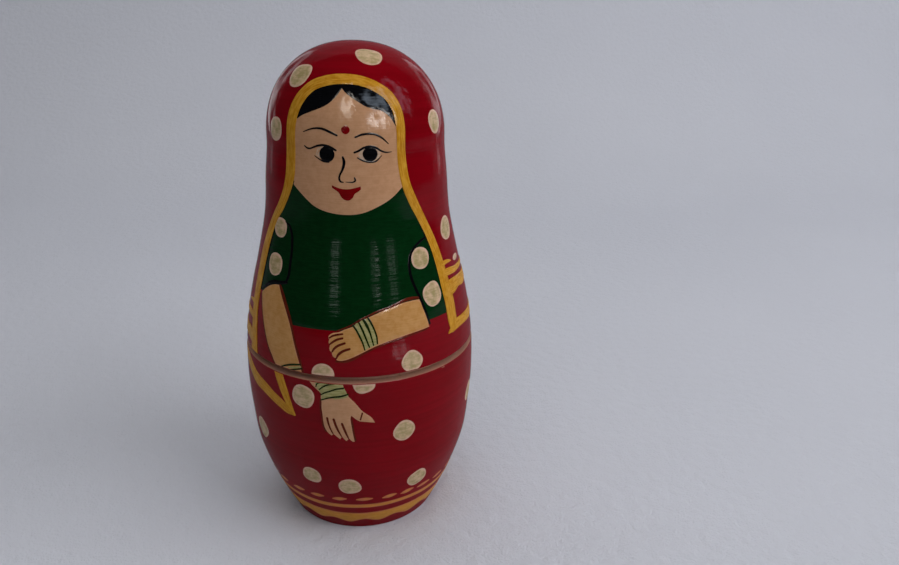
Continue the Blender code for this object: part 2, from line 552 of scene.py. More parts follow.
# A shape's outlines as rows of (degrees, s), and for a stroke its middle line, (degrees, s, width).
Shape = namedtuple("Shape", "outer inner spine", defaults=[None])


def on_surface(points):
    """(degrees, height, ...) rows as (degrees, s, ...) rows."""
    rows = np.array(points, float)
    rows[:, 1] = pattern.along(rows[:, 1])
    return rows


def smooth(rows, step=CURVE_STEP):
    """Rows about step apart on a smooth curve through the given rows, by a cubic between each pair."""
    chords = np.hypot(np.diff(rows[:, 0]) * ROUGH_DEGREE, np.diff(rows[:, 1]))
    t = np.concatenate([[0.0], np.cumsum(chords)])
    if len(rows) > 2:
        slopes = np.gradient(rows, t, axis=0)
    else:
        slopes = np.repeat(np.diff(rows, axis=0) / t[-1], 2, axis=0)
    places = np.linspace(0.0, t[-1], max(2, math.ceil(t[-1] / step) + 1))
    index = np.clip(np.searchsorted(t, places, "right") - 1, 0, len(t) - 2)
    span = (t[index + 1] - t[index])[:, None]
    u = ((places - t[index]) / span[:, 0])[:, None]
    return (
        rows[index] * (1 + 2 * u) * (1 - u) ** 2
        + rows[index + 1] * u**2 * (3 - 2 * u)
        + slopes[index] * span * u * (1 - u) ** 2
        - slopes[index + 1] * span * u**2 * (1 - u)
    )


def inset(outline, distance):
    """An outline moved inwards, in millimetres."""
    to_mm = np.stack([pattern.degree(outline[:, 1]), np.ones(len(outline))], axis=1)
    ahead, behind = np.roll(outline, -1, axis=0), np.roll(outline, 1, axis=0)
    turning = np.sum(outline[:, 0] * ahead[:, 1] - ahead[:, 0] * outline[:, 1])
    direction = (ahead - behind) * to_mm
    length = np.maximum(np.hypot(direction[:, 0], direction[:, 1]), TINY)
    inward = np.stack([-direction[:, 1], direction[:, 0]], axis=1) / length[:, None]
    if turning < 0:
        inward = -inward
    return outline + inward * distance / to_mm


def area(*runs):
    """A painted area. Each run is smooth and starts where the last one ends, with a corner between."""
    runs = [on_surface(run) for run in runs]
    start = runs[-1][-1:]
    parts = []
    for run in runs:
        parts.append(smooth(np.concatenate([start, run]))[:-1])
        start = run[-1:]
    outline = np.concatenate(parts)
    return Shape(outline, inset(outline, EDGE_INSET))


def ribbon(spine, share):
    """The outline of a stroke of given widths along its spine, with round ends."""
    degree = pattern.degree(spine[:, 1])
    run = np.gradient(spine[:, 0]) * degree
    rise = np.gradient(spine[:, 1])
    length = np.hypot(run, rise)
    run, rise = run / length, rise / length
    half = spine[:, 2] * share / 2
    left = np.stack([spine[:, 0] - rise * half / degree, spine[:, 1] + run * half], axis=1)
    right = np.stack([spine[:, 0] + rise * half / degree, spine[:, 1] - run * half], axis=1)

    def cap(i, sign):
        """Points round one end, from its right side to its left side, or the other way."""
        points = []
        for angle in np.linspace(-math.pi / 2, math.pi / 2, 7)[1:-1]:
            forward, across = math.cos(angle) * half[i], math.sin(angle) * half[i]
            x = sign * (run[i] * forward - rise[i] * across) / degree[i]
            y = sign * (rise[i] * forward + run[i] * across)
            points.append((spine[i, 0] + x, spine[i, 1] + y))
        return points

    return np.concatenate([right, cap(-1, 1), left[::-1], cap(0, -1)])


def stroke(*points):
    """A brush stroke through (degrees, height, width) points."""
    rows = on_surface(points)
    widest = rows[:, 2].max()
    spine = smooth(rows, min(CURVE_STEP, max(FINEST_CURVE_STEP, widest * 0.5)))
    spine[:, 2] = np.maximum(spine[:, 2], THINNEST)
    share = 1 - 2 * min(EDGE_INSET, STROKE_INSET_SHARE * widest) / widest
    return Shape(ribbon(spine, 1.0), ribbon(spine, share), spine)


def dot(degrees, height, radius, tall=None, seed=None):
    """A round dab of paint, a little uneven if it has a seed. tall is its half height if not round."""
    middle = pattern.along(height)
    chance = random.Random(seed)
    uneven = DOT_UNEVENNESS if seed else 0.0
    wobbles = [(n, chance.uniform(0.0, uneven), chance.uniform(0, 2 * math.pi)) for n in (2, 3, 4)]
    count = max(20, round(2 * math.pi * radius / DOT_STEP))
    angles = np.linspace(0, 2 * math.pi, count, endpoint=False)
    swell = 1 + sum(size * np.cos(n * angles + phase) for n, size, phase in wobbles)

    def loop(shrink):
        across = (radius - shrink) * swell * np.cos(angles)
        s = middle + ((tall or radius) - shrink) * swell * np.sin(angles)
        return np.stack([degrees + across / pattern.degree(s), s], axis=1)

    return Shape(loop(0.0), loop(min(EDGE_INSET, radius * DOT_INSET_SHARE)))


def dots(table, seed):
    """Uneven dabs at (degrees, height, radius) rows, each with its own seed."""
    return [dot(*row, seed=seed + n) for n, row in enumerate(table)]


def clip(outline, limit, above):
    """The part of an outline above or below a level, in s."""
    kept = []
    for here, after in zip(outline, np.roll(outline, -1, axis=0)):
        here_in, after_in = (here[1] > limit) == above, (after[1] > limit) == above
        if here_in:
            kept.append(here)
        if here_in != after_in:
            t = (limit - here[1]) / (after[1] - here[1])
            kept.append(here + (after - here) * t)
    return divide(np.array(kept)) if len(kept) > 2 else None


def divide(outline):
    """An outline with points added, so that its long edges bend round the doll."""
    points = []
    for here, after in zip(outline, np.roll(outline, -1, axis=0)):
        length = math.hypot((after[0] - here[0]) * ROUGH_DEGREE, after[1] - here[1])
        count = max(1, math.ceil(length / LONGEST_EDGE))
        points += [here + (after - here) * i / count for i in range(count)]
    return np.array(points)


# ---------------------------------------------------------------------------------------------
# Paint as thin solids.

# Millimetres above the wood at the edge of the paint and within it, for paints that overlap.
LAYERS = {
    "under": (0.010, 0.025),
    "ground": (0.012, 0.055),
    "skin": (0.040, 0.065),
    "detail": (0.085, 0.110),
    "line": (0.090, 0.125),
    "over": (0.135, 0.165),
}
PAINT_THINNING_POWER = 0.4
PAINT_ROOT = -0.15
# The bead where paint dries thicker: its extra share, and its distance from the edge and its width.
BEAD_RISE = 0.15
BEAD_PLACE = 0.45
BEAD_WIDTH = 0.3

# Spacing of the points within a shape. Large areas have wider ones.
GRID_STEP = 1.15
FACE_STEP = 1.4
BLOUSE_STEP = 1.6
HAIR_STEP = 1.2
RING_SEGMENTS = 360


def nearest(points, path, closed):
    """For each point: (distance to a path, distance along it, side). All in flat millimetres."""
    start = path if closed else path[:-1]
    end = np.roll(path, -1, axis=0) if closed else path[1:]
    step = end - start
    length = np.maximum(np.hypot(step[:, 0], step[:, 1]), TINY)
    offset = points[:, None, :] - start[None, :, :]
    t = np.clip((offset * step).sum(axis=2) / length**2, 0, 1)
    gap = offset - t[:, :, None] * step
    distances = np.hypot(gap[:, :, 0], gap[:, :, 1])
    best = distances.argmin(axis=1)
    rows = np.arange(len(points))
    travelled = np.concatenate([[0.0], np.cumsum(length)[:-1]])
    along = travelled[best] + t[rows, best] * length[best]
    cross = step[best, 0] * offset[rows, best, 1] - step[best, 1] * offset[rows, best, 0]
    return distances[rows, best], along, np.sign(cross)


def inside(points, outline):
    """True for each point within an outline, by counting the edges to its right."""
    start, end = outline, np.roll(outline, -1, axis=0)
    x, y = points[:, 0][:, None], points[:, 1][:, None]
    crosses = (start[:, 1] > y) != (end[:, 1] > y)
    height = np.where(end[:, 1] == start[:, 1], 1.0, end[:, 1] - start[:, 1])
    at_x = start[:, 0] + (y - start[:, 1]) * (end[:, 0] - start[:, 0]) / height
    return (crosses & (x < at_x)).sum(axis=1) % 2 == 1


def fill(outer, inner, spacing):
    """Triangles within an outline, as (points, triangles), with edges along the inner outline too."""
    low, high = outer.min(axis=0), outer.max(axis=0)
    rows = np.arange(low[1], high[1], spacing * 0.87)
    grid = [
        (x + (spacing / 2 if n % 2 else 0.0), y)
        for n, y in enumerate(rows)
        for x in np.arange(low[0], high[0], spacing)
    ]
    grid = np.array(grid).reshape(-1, 2)
    if len(grid):
        grid = grid[inside(grid, outer)]
    if len(grid):
        distance, _, _ = nearest(grid, outer, True)
        grid = grid[distance > 0.55 * spacing]
    points, edges = [], []
    for loop in (outer, inner):
        if loop is not None:
            first = len(points)
            points += [Vector(point) for point in loop]
            edges += [(first + i, first + (i + 1) % len(loop)) for i in range(len(loop))]
    points += [Vector(point) for point in grid]
    verts, _, faces, _, _, _ = delaunay_2d_cdt(points, edges, [], 1, 1e-5)
    return np.array([tuple(v) for v in verts]), [list(face) for face in faces]


def seam(doll, half):
    """The level where paint on one half stops, in s."""
    if not doll.opens:
        return pattern.along(SHOULDER_HEIGHT + RIM_GAP / 2)
    rounding = RIM_ROUNDING / doll.scale
    if half == "upper":
        return pattern.along(SHOULDER_HEIGHT + RIM_GAP + rounding)
    return pattern.along(SHOULDER_HEIGHT - rounding)


def close_solid(flat, faces, first):
    """Faces of a thin solid: its top, its root and the sides between, from its flat triangles.

    Its top points come first, from number first on, and its root points follow in the same order.
    """
    count = len(flat)
    closed, used = [], set()
    for face in faces:
        a, b, c = (flat[i] for i in face[:3])
        if (b[0] - a[0]) * (c[1] - a[1]) - (b[1] - a[1]) * (c[0] - a[0]) < 0:
            face.reverse()
        closed.append([first + i for i in face])
        closed.append([first + count + i for i in reversed(face)])
        used.update(zip(face, face[1:] + face[:1]))
    for i, j in sorted(used):
        if (j, i) not in used:
            closed.append([first + j, first + i, first + count + i, first + count + j])
    return closed


def add_paint(doll, half, part, verts, faces, brush, material):
    """A painted piece. brush is each vertex's (place along a stroke, place across, edge distance)."""
    obj = add_mesh(f"{doll.name}_{part}", verts, faces, [material], sharp_angle=40)
    attribute = obj.data.attributes.new("brush", "FLOAT_VECTOR", "POINT")
    attribute.data.foreach_set("vector", np.array(brush, np.float32).ravel())
    obj.data.validate()
    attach(obj, doll.bodies[half])


def paint(doll, half, part, shapes, layer, material, spacing=GRID_STEP):
    """One piece of the painting: shapes of one colour on one half of a doll, in one of its LAYERS."""
    edge_lift, lift = doll.lifts(layer)
    limit = seam(doll, half)
    verts, faces, brush = [], [], []
    for shape in shapes:
        outer, inner = (clip(loop, limit, half == "upper") for loop in (shape.outer, shape.inner))
        if outer is None:
            continue
        degree = float(pattern.degree(outer[:, 1]).mean())
        to_mm = (degree, 1.0)
        outer = outer * to_mm
        flat, triangles = fill(outer, None if inner is None else inner * to_mm, spacing)
        distance, _, _ = nearest(flat, outer, True)
        bead = 1 + BEAD_RISE * np.exp(-(((distance - BEAD_PLACE) / BEAD_WIDTH) ** 2))
        at_edge = (distance < ON_LINE) & (np.abs(flat[:, 1] - limit) >= ON_LINE)
        lifts = np.where(at_edge, edge_lift, lift * bead)
        along, across = flat[:, 0], flat[:, 1]
        if shape.spine is not None:
            gap, along, side = nearest(flat, shape.spine[:, :2] * to_mm, False)
            across = gap * side
        faces += close_solid(flat, triangles, len(verts))
        for height in (lifts, np.full(len(flat), PAINT_ROOT)):
            verts += [tuple(v) for v in doll.place(half, flat[:, 0] / degree, flat[:, 1], height)]
            brush += [tuple(v) for v in np.stack([along, across, distance], axis=1)]
    if faces:
        add_paint(doll, half, part, verts, faces, brush, material)


def ring(doll, part, edges, material):
    """A painted line right round a doll's lower half, as a thin solid like the other paint."""
    degrees = np.arange(RING_SEGMENTS) * 360.0 / RING_SEGMENTS
    low, high = (pattern.along(edge) for edge in edges(degrees))
    edge_lift, lift = doll.lifts("ground")
    rows = [(low, edge_lift), (low + EDGE_INSET, lift)]
    rows += [(low + (high - low) * share, lift) for share in (0.25, 0.5, 0.75)]
    rows += [(high - EDGE_INSET, lift), (high, edge_lift), (high, PAINT_ROOT), (low, PAINT_ROOT)]
    verts, faces, brush = [], [], []
    for n, (s, height) in enumerate(rows):
        verts += [tuple(v) for v in doll.place("lower", degrees, s, np.full(RING_SEGMENTS, height))]
        brush += [tuple(v) for v in np.stack([degrees * 0.5, s, np.minimum(s - low, high - s)], axis=1)]
        here, after = n * RING_SEGMENTS, (n + 1) % len(rows) * RING_SEGMENTS
        for i in range(RING_SEGMENTS):
            j = (i + 1) % RING_SEGMENTS
            faces.append([here + i, here + j, after + j, after + i])
    add_paint(doll, "lower", part, verts, faces, brush, material)


# ---------------------------------------------------------------------------------------------
# The painting.

BLOUSE = area(
    [(-55, 86.0)],
    [(-33, 79.5)],
    [(53.6, 79.8)],
    [(54, 86), (53, 92), (51, 98), (47, 104.5), (42, 111), (37, 116), (33, 120), (31, 122)],
    [(25, 121), (0, 118), (-25, 121), (-36, 122)],
    [(-38, 119), (-43, 115), (-49, 111), (-54, 107), (-57, 102), (-59, 96), (-60, 86.3)],
)

FACE = area(
    [(-30, 118.4), (-20, 114.8), (-10, 113.4), (-2.5, 113.1), (5, 113.4), (15, 115.2),
     (25, 118), (31, 120.6)],
    [(29.8, 127), (29.7, 135), (29, 141), (24, 145.5), (15, 148.2), (0, 149.3), (-15, 149), (-28, 146.3),
     (-34.8, 141), (-35.5, 135), (-36, 127), (-36.5, 121)],
)

HAIR = area(
    [(-34.4, 139.0), (-32.9, 139.2)],
    [(-30, 140.1), (-25, 141.1), (-20, 142), (-15, 143), (-10, 144.7), (-7, 146.2), (-4.7, 147.7)],
    [(-2.5, 146.7), (0, 145.9), (5, 144.5), (10, 143.2), (15, 142.5), (20, 141.9), (24, 140.6),
     (27.9, 137.8)],
    [(29.4, 139.5), (28.6, 142.5), (23.5, 146), (15, 148.5), (5, 149.5), (-4.7, 149.9), (-15, 149.5),
     (-25, 147.2), (-31, 143.8), (-34.6, 139.8)],
)

VEIL_BORDER = [
    stroke(
        (-57.6, 64.5, 5.0), (-59.0, 72.0, 4.3), (-60.7, 79.0, 4.2), (-61.6, 86.0, 4.6), (-61.6, 92.0, 4.9),
        (-60.4, 98.0, 4.8), (-57.3, 104.0, 3.8), (-52.3, 109.2, 3.0), (-46.0, 113.7, 3.0),
        (-41.2, 118.2, 3.2), (-38.6, 122.5, 3.6), (-38.0, 128.0, 3.6), (-37.6, 134.0, 3.4),
        (-36.9, 139.5, 3.6), (-34.3, 143.7, 3.7), (-27.5, 147.6, 3.5), (-16.0, 149.6, 3.4),
        (-4.0, 150.1, 3.3), (9.0, 149.6, 3.2), (19.0, 148.0, 3.2), (25.8, 145.8, 3.2),
        (29.6, 142.6, 3.1), (30.9, 138.5, 2.9), (30.9, 132.5, 2.7), (31.5, 126.5, 2.8),
        (33.4, 121.0, 2.9), (37.6, 115.9, 3.0), (43.0, 110.6, 2.9), (48.0, 105.2, 3.1),
        (51.6, 99.6, 3.6), (53.8, 93.6, 4.1), (55.0, 88.0, 4.7), (55.8, 83.0, 5.0),
        (56.0, 78.5, 4.9), (55.9, 75.5, 4.4), (55.2, 73.8, 2.6),
    ),
    stroke((-62.5, 80.6, 1.4), (-66.0, 80.9, 1.2), (-71.0, 80.6, 0.4)),
    stroke((-62.0, 76.5, 2.0), (-68.0, 76.7, 2.0), (-79.0, 76.3, 1.6), (-93.0, 75.7, 0.6)),
    stroke((-60.5, 69.8, 4.4), (-67.0, 70.4, 3.9), (-76.0, 70.1, 3.7), (-88.0, 69.7, 3.0),
           (-103.0, 69.8, 0.8)),
    stroke((56.0, 94.6, 1.5), (60.0, 94.7, 1.3), (63.0, 94.5, 0.9), (65.5, 94.2, 0.3)),
    stroke((56.5, 91.6, 2.2), (62, 91.4, 2.3), (68, 91.0, 2.0), (76, 90.8, 1.6), (86, 90.5, 1.1),
           (95, 90.3, 0.4)),
    stroke((56.0, 86.4, 4.8), (61, 86.6, 4.8), (68.5, 86.9, 3.7), (76, 86.3, 4.0), (86, 86.0, 3.2),
           (98, 86.2, 2.0),
           (107, 86.8, 0.5)),
    stroke(
        (51.6, 73.0, 0.5), (54.5, 73.7, 2.2), (59.0, 74.4, 3.2), (66.0, 74.4, 3.2), (75.0, 73.9, 3.4),
        (90.0, 73.6, 3.4), (110.0, 74.6, 3.5), (135.0, 76.0, 3.6), (160.0, 76.6, 3.6), (185.0, 76.0, 3.7),
        (210.0, 74.0, 3.8), (232.0, 70.6, 4.0), (250.0, 66.6, 4.2), (262.0, 62.5, 4.2),
    ),
]

VEIL_BORDER_BELOW = [
    stroke(
        (-57.9, 65.5, 3.6), (-56.6, 62.3, 3.4), (-55.0, 59.5, 3.3), (-53.3, 56.8, 3.0), (-51.8, 54.4, 2.5),
        (-50.3, 52.0, 1.9), (-48.4, 50.1, 0.8),
    ),
    stroke(
        (-98.0, 66.5, 4.2), (-90.0, 61.6, 4.4), (-82.0, 58.8, 4.5), (-75.0, 56.6, 4.4), (-68.0, 55.6, 4.1),
        (-61.5, 54.0, 3.6), (-56.0, 52.5, 3.3), (-52.0, 51.1, 2.6), (-49.0, 50.3, 1.2),
    ),
]

LEFT_ARM = area(
    [(-51.5, 87.7), (-47.1, 89.2), (-44, 89.8), (-41.2, 90)],
    [(-38.6, 87.8), (-35.7, 85), (-33.4, 82.4), (-31.4, 80), (-28.7, 75), (-26.4, 70.8), (-24.6, 67.5),
     (-22.6, 63.5)],
    [(-37.2, 63.5)],
    [(-41.5, 68), (-45, 70.9), (-49.3, 75.9), (-52.9, 81.2), (-55.5, 85.7)],
)

RIGHT_ARM = area(
    [(30.5, 86.8), (25, 86.6), (20, 85.9), (15, 85.1), (10, 84.0), (4.5, 82.6), (0.5, 81.0), (-3.2, 80.1),
     (-5.9, 79.3), (-9.1, 78.8), (-10.6, 78.1), (-10.9, 77.3)],
    [(-10.3, 76.9)],
    [(-10.7, 76.3), (-10.5, 75.6), (-10.0, 75.3)],
    [(-10.3, 74.3), (-9.9, 73.4), (-9.1, 73.0)],
    [(-8.9, 72.2), (-8.2, 71.6), (-7.4, 71.4)],
    [(-7.0, 70.8), (-5.9, 70.6), (-2.7, 70.9), (0, 71.6), (5.5, 73.3), (10, 74.6), (15.7, 75.7),
     (24.3, 76.8),
     (38.7, 77.7)],
    [(37.9, 80.5), (36.7, 83.5), (35.2, 86.7)],
)

HAND_BELOW = area(
    [(-42.2, 65.5)],
    [(-40.0, 63.3), (-38.1, 61.8), (-35.8, 60.5), (-34.3, 59.6)],
    [(-34.5, 58.4), (-34.2, 57), (-34.3, 54.8), (-34, 52.4), (-33.7, 49.5), (-33.3, 47.8), (-32.5, 46.6),
     (-31.2, 45.5), (-30.2, 45.0)],
    [(-29.4, 45.7)],
    [(-28.6, 45.2), (-27.4, 44.4), (-26.4, 43.8)],
    [(-25.5, 44.9)],
    [(-24.4, 43.8), (-23.5, 43.2)],
    [(-22.3, 44.3)],
    [(-21.4, 43.4), (-20.3, 42.9), (-19.8, 43.0)],
    [(-20.4, 45.6), (-20.8, 48), (-21.2, 50), (-21.3, 51.7), (-21.0, 52.6)],
    [(-20, 52), (-18.6, 51.1), (-17.2, 50.5)],
    [(-14.4, 50.2), (-12.8, 50), (-10.4, 49.7)],
    [(-12.2, 51.8), (-14.2, 53), (-16.2, 54.2), (-17.2, 55.1), (-19.2, 57), (-21.9, 59.1), (-23.4, 61),
     (-24.3, 63), (-25.2, 65.5)],
)

RIGHT_BANGLES = area(
    [(2.5, 81.8), (4.7, 82.6), (6.7, 83.1), (7.7, 83.3)],
    [(9.2, 81.8), (10.6, 79.7), (11.4, 77.7), (11.6, 75.4)],
    [(9.8, 74.9), (7.8, 74.5), (5.7, 73.8)],
    [(4.8, 76.2), (3.6, 78), (2.3, 79.7), (0.7, 81.2)],
)
BANGLES_BELOW = area(
    [(-36.7, 61.9)],
    [(-35.4, 60.6), (-34.2, 59.6), (-34.2, 57.5)],
    [(-31, 58.1), (-28, 58.4), (-25.5, 58.6), (-22, 59.2)],
    [(-22.9, 60.6), (-24.2, 62.6), (-24.8, 64.5)],
    [(-37.6, 64.5)],
)
BANGLE_LINES = [
    stroke((0.6, 81.4, 0.55), (2.3, 79.7, 0.55), (3.6, 78.0, 0.55), (4.8, 76.2, 0.5), (5.8, 73.9, 0.4)),
    stroke((3.4, 82.1, 0.5), (4.8, 80.1, 0.6), (5.9, 78.3, 0.55), (7.0, 76.3, 0.5), (7.9, 74.7, 0.4)),
    stroke((5.6, 82.9, 0.75), (7.0, 81.2, 0.85), (8.2, 79.3, 0.6), (9.1, 77.2, 0.45), (9.8, 75.2, 0.4)),
    stroke((7.7, 83.4, 0.6), (9.1, 81.8, 0.6), (10.5, 79.7, 0.5), (11.4, 77.7, 0.5), (11.6, 75.6, 0.45)),
    stroke((-36.0, 65.1, 0.4), (-33.5, 66.1, 0.5), (-30.2, 67.0, 0.6), (-24.4, 67.9, 0.55)),
    stroke((-30.0, 65.4, 0.4), (-27.0, 66.0, 0.5), (-23.6, 66.7, 0.5)),
]
BANGLE_LINES_BELOW = [
    stroke((-36.6, 61.7, 0.35), (-36.2, 62.6, 0.4), (-34.4, 63.2, 0.4), (-32.5, 63.4, 0.3)),
    stroke((-35.0, 60.9, 0.4), (-33.1, 62.0, 0.5), (-31.1, 62.7, 0.5), (-28.3, 63.1, 0.4)),
    stroke((-34.3, 59.2, 0.4), (-32.5, 60.0, 0.45), (-30.0, 60.7, 0.5), (-27.2, 61.5, 0.55),
           (-24.1, 61.9, 0.55)),
    stroke((-34.4, 57.4, 0.4), (-31.1, 58.3, 0.5), (-28.3, 58.8, 0.55), (-25.6, 59.1, 0.6),
           (-22.1, 59.9, 0.5)),
]
BANGLE_GLINTS = [
    stroke((2.3, 81.7, 0.8), (3.1, 80.8, 0.6)),
    stroke((4.6, 82.4, 0.8), (5.5, 81.2, 0.5)),
    stroke((6.7, 83.0, 0.45), (7.7, 81.6, 0.5), (8.8, 80.2, 0.4)),
    stroke((-30.5, 66.0, 0.4), (-27.0, 66.6, 0.5), (-24.1, 67.2, 0.5)),
]
BANGLE_GLINTS_BELOW = [stroke((-28.3, 58.2, 0.25), (-25.4, 58.5, 0.4), (-22.6, 58.9, 0.3))]

FINGER_LINES = [
    stroke((-10.4, 77.4, 0.5), (-9.0, 78.0, 0.6), (-7.3, 78.4, 0.65), (-4.3, 78.75, 0.6)),
    stroke((-10.1, 75.5, 0.5), (-8.8, 76.2, 0.65), (-7.2, 76.9, 0.7), (-4.3, 77.5, 0.65)),
    stroke((-9.0, 73.3, 0.5), (-8.0, 74.3, 0.7), (-6.3, 75.2, 0.75), (-3.3, 76.0, 0.7)),
    stroke((-7.2, 71.2, 0.5), (-6.0, 72.6, 0.75), (-4.0, 73.6, 0.8), (-1.1, 74.3, 0.7)),
]
FINGER_LINES_BELOW = [
    stroke((-31.9, 51.3, 0.7), (-31.3, 49.0, 0.6), (-30.4, 47.0, 0.5), (-29.6, 45.8, 0.4)),
    stroke((-28.9, 51.0, 0.8), (-27.9, 48.4, 0.75), (-26.8, 46.5, 0.6), (-25.7, 44.9, 0.4)),
    stroke((-25.2, 49.6, 0.7), (-24.1, 47.2, 0.75), (-23.2, 45.4, 0.6), (-22.4, 44.0, 0.4)),
    stroke((-16.0, 53.4, 0.5), (-16.9, 51.1, 0.5)),
]

ARM_OUTLINES = [
    stroke((34.9, 87.2, 0.6), (31.0, 87.5, 0.9), (27.0, 87.4, 0.95), (22.0, 86.6, 0.75), (16.5, 85.7, 0.6),
           (12.3, 85.1, 0.55), (7.7, 83.9, 0.6), (3.5, 82.7, 0.6), (0.5, 81.6, 0.55), (-4.0, 80.3, 0.45),
           (-7.5, 79.5, 0.3)),
    stroke((-7.3, 70.3, 0.45), (-3.0, 70.4, 0.75), (0.5, 71.2, 0.75), (5.2, 72.8, 0.68), (10, 74.2, 0.6),
           (16, 75.3, 0.52), (26, 76.5, 0.52), (38, 77.3, 0.45)),
    stroke((-40.7, 90.1, 0.75), (-38.0, 87.9, 1.2), (-35.0, 85.0, 1.2), (-31.0, 80.4, 1.05),
           (-28.0, 75.0, 0.6),
           (-24.2, 68.6, 0.52), (-22.4, 64.5, 0.45)),
    stroke((-55.7, 85.2, 0.45), (-52.8, 80.6, 0.6), (-48.9, 75.2, 0.6), (-44.6, 70.2, 0.6),
           (-38.0, 64.5, 0.52)),
]
ARM_OUTLINES_BELOW = [
    stroke((-34.8, 57.0, 0.45), (-34.8, 54.0, 0.39), (-34.4, 51.0, 0.45), (-34.0, 48.4, 0.59),
           (-32.9, 46.4, 0.52)),
    stroke((-20.8, 52.2, 0.33), (-20.5, 49.6, 0.59), (-20.1, 46.6, 0.65), (-19.4, 43.4, 0.52)),
]

SLEEVE_LINES = [
    stroke((-42.0, 108.9, 0.3), (-38.5, 108.1, 0.7), (-36.1, 105.8, 0.9), (-35.1, 102.0, 0.9),
           (-35.1, 97.0, 0.9), (-35.6, 93.0, 0.9), (-37.0, 91.2, 0.8)),
    stroke((-36.2, 91.4, 0.9), (-40.5, 90.8, 1.2), (-46.5, 90.2, 1.3), (-51.5, 88.6, 1.1),
           (-56.5, 86.5, 0.5)),
    stroke((46.3, 104.4, 0.4), (41.5, 103.7, 0.8), (36.8, 102.4, 0.8), (33.0, 100.2, 0.9),
           (31.4, 97.0, 0.9),
           (32.1, 92.8, 0.9), (33.7, 89.8, 0.9), (35.8, 86.4, 0.9), (37.6, 82.6, 0.9), (39.3, 78.6, 0.7)),
    stroke((31.2, 121.2, 0.5), (35.3, 115.7, 0.5), (40.3, 110.5, 0.5), (45.0, 104.7, 0.6),
           (48.2, 100.2, 0.6),
           (50.0, 95.8, 0.7), (51.1, 90.5, 0.7), (51.8, 85.5, 0.6), (52.2, 80.5, 0.5)),
    stroke((-35.3, 121.4, 0.5), (-40.2, 115.9, 0.5), (-46.0, 111.6, 0.5), (-51.8, 106.8, 0.6),
           (-54.4, 102.0, 0.6), (-56.4, 96.0, 0.7), (-57.5, 90.0, 0.6), (-57.8, 86.0, 0.5)),
]

FACE_LINES = [
    stroke((-27.9, 135.8, 0.24), (-25, 136.4, 0.38), (-21, 136.95, 0.5), (-16, 137.0, 0.62),
           (-11, 136.2, 0.66),
           (-7, 135.35, 0.5)),
    stroke((3.6, 135.0, 0.5), (7, 135.65, 0.58), (11, 135.9, 0.62), (15, 135.7, 0.62), (19, 134.7, 0.52),
           (22.8, 133.0, 0.24)),
    dot(-13.2, 130.05, 2.22),
    dot(11.85, 130.3, 2.12, 2.04),
    stroke((-27.3, 131.95, 0.36), (-25.8, 131.45, 0.48), (-24, 131.3, 0.48), (-21.5, 131.75, 0.5),
           (-18.5, 132.3, 0.6), (-14, 132.45, 0.72), (-10.5, 131.9, 0.78), (-7.8, 131.25, 0.54)),
    stroke((2.8, 130.75, 0.54), (5, 131.15, 0.6), (8, 132.0, 0.66), (11.5, 132.4, 0.72), (15, 132.1, 0.66),
           (18, 131.2, 0.54), (21, 130.65, 0.42), (24.7, 130.7, 0.18)),
    stroke((-3.85, 129.4, 0.6), (-3.2, 128.2, 0.86), (-3.5, 127.0, 0.78), (-4.5, 125.6, 0.64),
           (-5.7, 124.4, 0.55),
           (-6.1, 123.4, 0.6), (-5.4, 122.6, 0.54), (-3.8, 122.4, 0.3)),
]
FINE_FACE_LINES = [
    stroke((-20.7, 129.4, 0.2), (-18, 128.6, 0.35), (-15, 127.95, 0.4), (-12, 127.85, 0.3)),
    stroke((4.5, 129.3, 0.35), (7, 128.6, 0.45), (11, 128.1, 0.5), (15, 128.25, 0.45), (18.6, 129.75, 0.2)),
    stroke((-2.4, 122.5, 0.18), (0, 122.45, 0.3), (1.8, 122.5, 0.4), (3.0, 122.9, 0.5), (2.6, 123.7, 0.4)),
]
EYE_WHITES = [
    area([(-19.2, 131.4), (-16.5, 132.1), (-10, 131.8), (-8.5, 131.0)],
         [(-10, 129), (-14, 128.1), (-18, 128.9), (-20.2, 129.7)]),
    area([(6.5, 131.4), (11, 132.2), (15.5, 131.8), (18.3, 130.7)],
         [(17.6, 129.6), (14, 128.3), (9, 128.3), (6, 129.1), (4.6, 130.2)]),
]
LIPS = [
    area([(-7.5, 120.9), (-4, 120.5), (0, 120.55), (3, 120.9), (5.9, 121.3)],
         [(6.1, 120.5)],
         [(4.3, 119.7), (2.6, 119.2), (1.3, 118), (-0.8, 117.25), (-3.2, 117.4), (-5.2, 118.3),
          (-6.4, 119.4),
          (-8.8, 120.3), (-10.3, 120.8)],
         [(-10.4, 121.5)]),
    dot(-2.0, 136.9, 1.2, 1.13, seed=3),
]

# Where the paint has chipped off the lower half's rim, as (degrees, half length in degrees, depth).
RIM_CHIPS = ((25.5, 1.3, 0.75), (21.5, 0.7, 0.35), (-12.0, 1.0, 0.3), (96.0, 1.8, 0.6), (-141.0, 1.2, 0.7))

